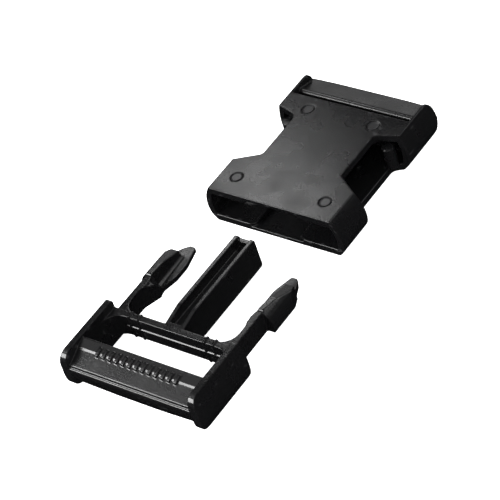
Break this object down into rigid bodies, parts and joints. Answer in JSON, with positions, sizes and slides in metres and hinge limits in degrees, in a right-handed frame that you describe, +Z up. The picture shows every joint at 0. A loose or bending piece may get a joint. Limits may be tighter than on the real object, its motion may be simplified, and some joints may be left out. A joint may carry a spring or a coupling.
{
  "type": "side release buckle for 38 mm webbing",
  "caption": "Side release buckle, open: a flat hollow socket with side windows and a plug with a centre guide and two springy side prongs.",
  "frame": {"origin": "on the surface that the buckle lies on, under the middle of both halves together", "axes": "+Y from the plug towards the socket, the way the plug slides in; +Z up; +X to the right seen from the plug"},
  "size_m": [0.0448, 0.1172, 0.0122],
  "materials": {
    "acetal_socket": "black moulded acetal, fine spark-eroded grain",
    "acetal_plug": "black moulded acetal, fine spark-eroded grain",
    "acetal_prong": "black moulded acetal, fine spark-eroded grain"
  },
  "bodies": {
    "socket": {"socket": "acetal_socket"},
    "plug": {"plug": "acetal_plug"},
    "prong_left": {"prong_left": "acetal_prong"},
    "prong_right": {"prong_right": "acetal_prong"}
  },
  "joints": [
    {"name": "plug_slide", "type": "slide", "parent": "socket", "child": "plug", "axis": [0, 1, 0], "range_m": [0, 0.0441], "deforming": ["prong_left", "prong_right"]},
    {"name": "squeeze_left", "type": "hinge", "parent": "plug", "child": "prong_left", "pos_m": [-0.01835, -0.03255, 0.0061], "axis": [0, 0, -1], "range_deg": [0, 10], "stiffness_Nm_per_rad": 0.3},
    {"name": "squeeze_right", "type": "hinge", "parent": "plug", "child": "prong_right", "pos_m": [0.01835, -0.03255, 0.0061], "axis": [0, 0, 1], "range_deg": [0, 10], "stiffness_Nm_per_rad": 0.3}
  ]
}
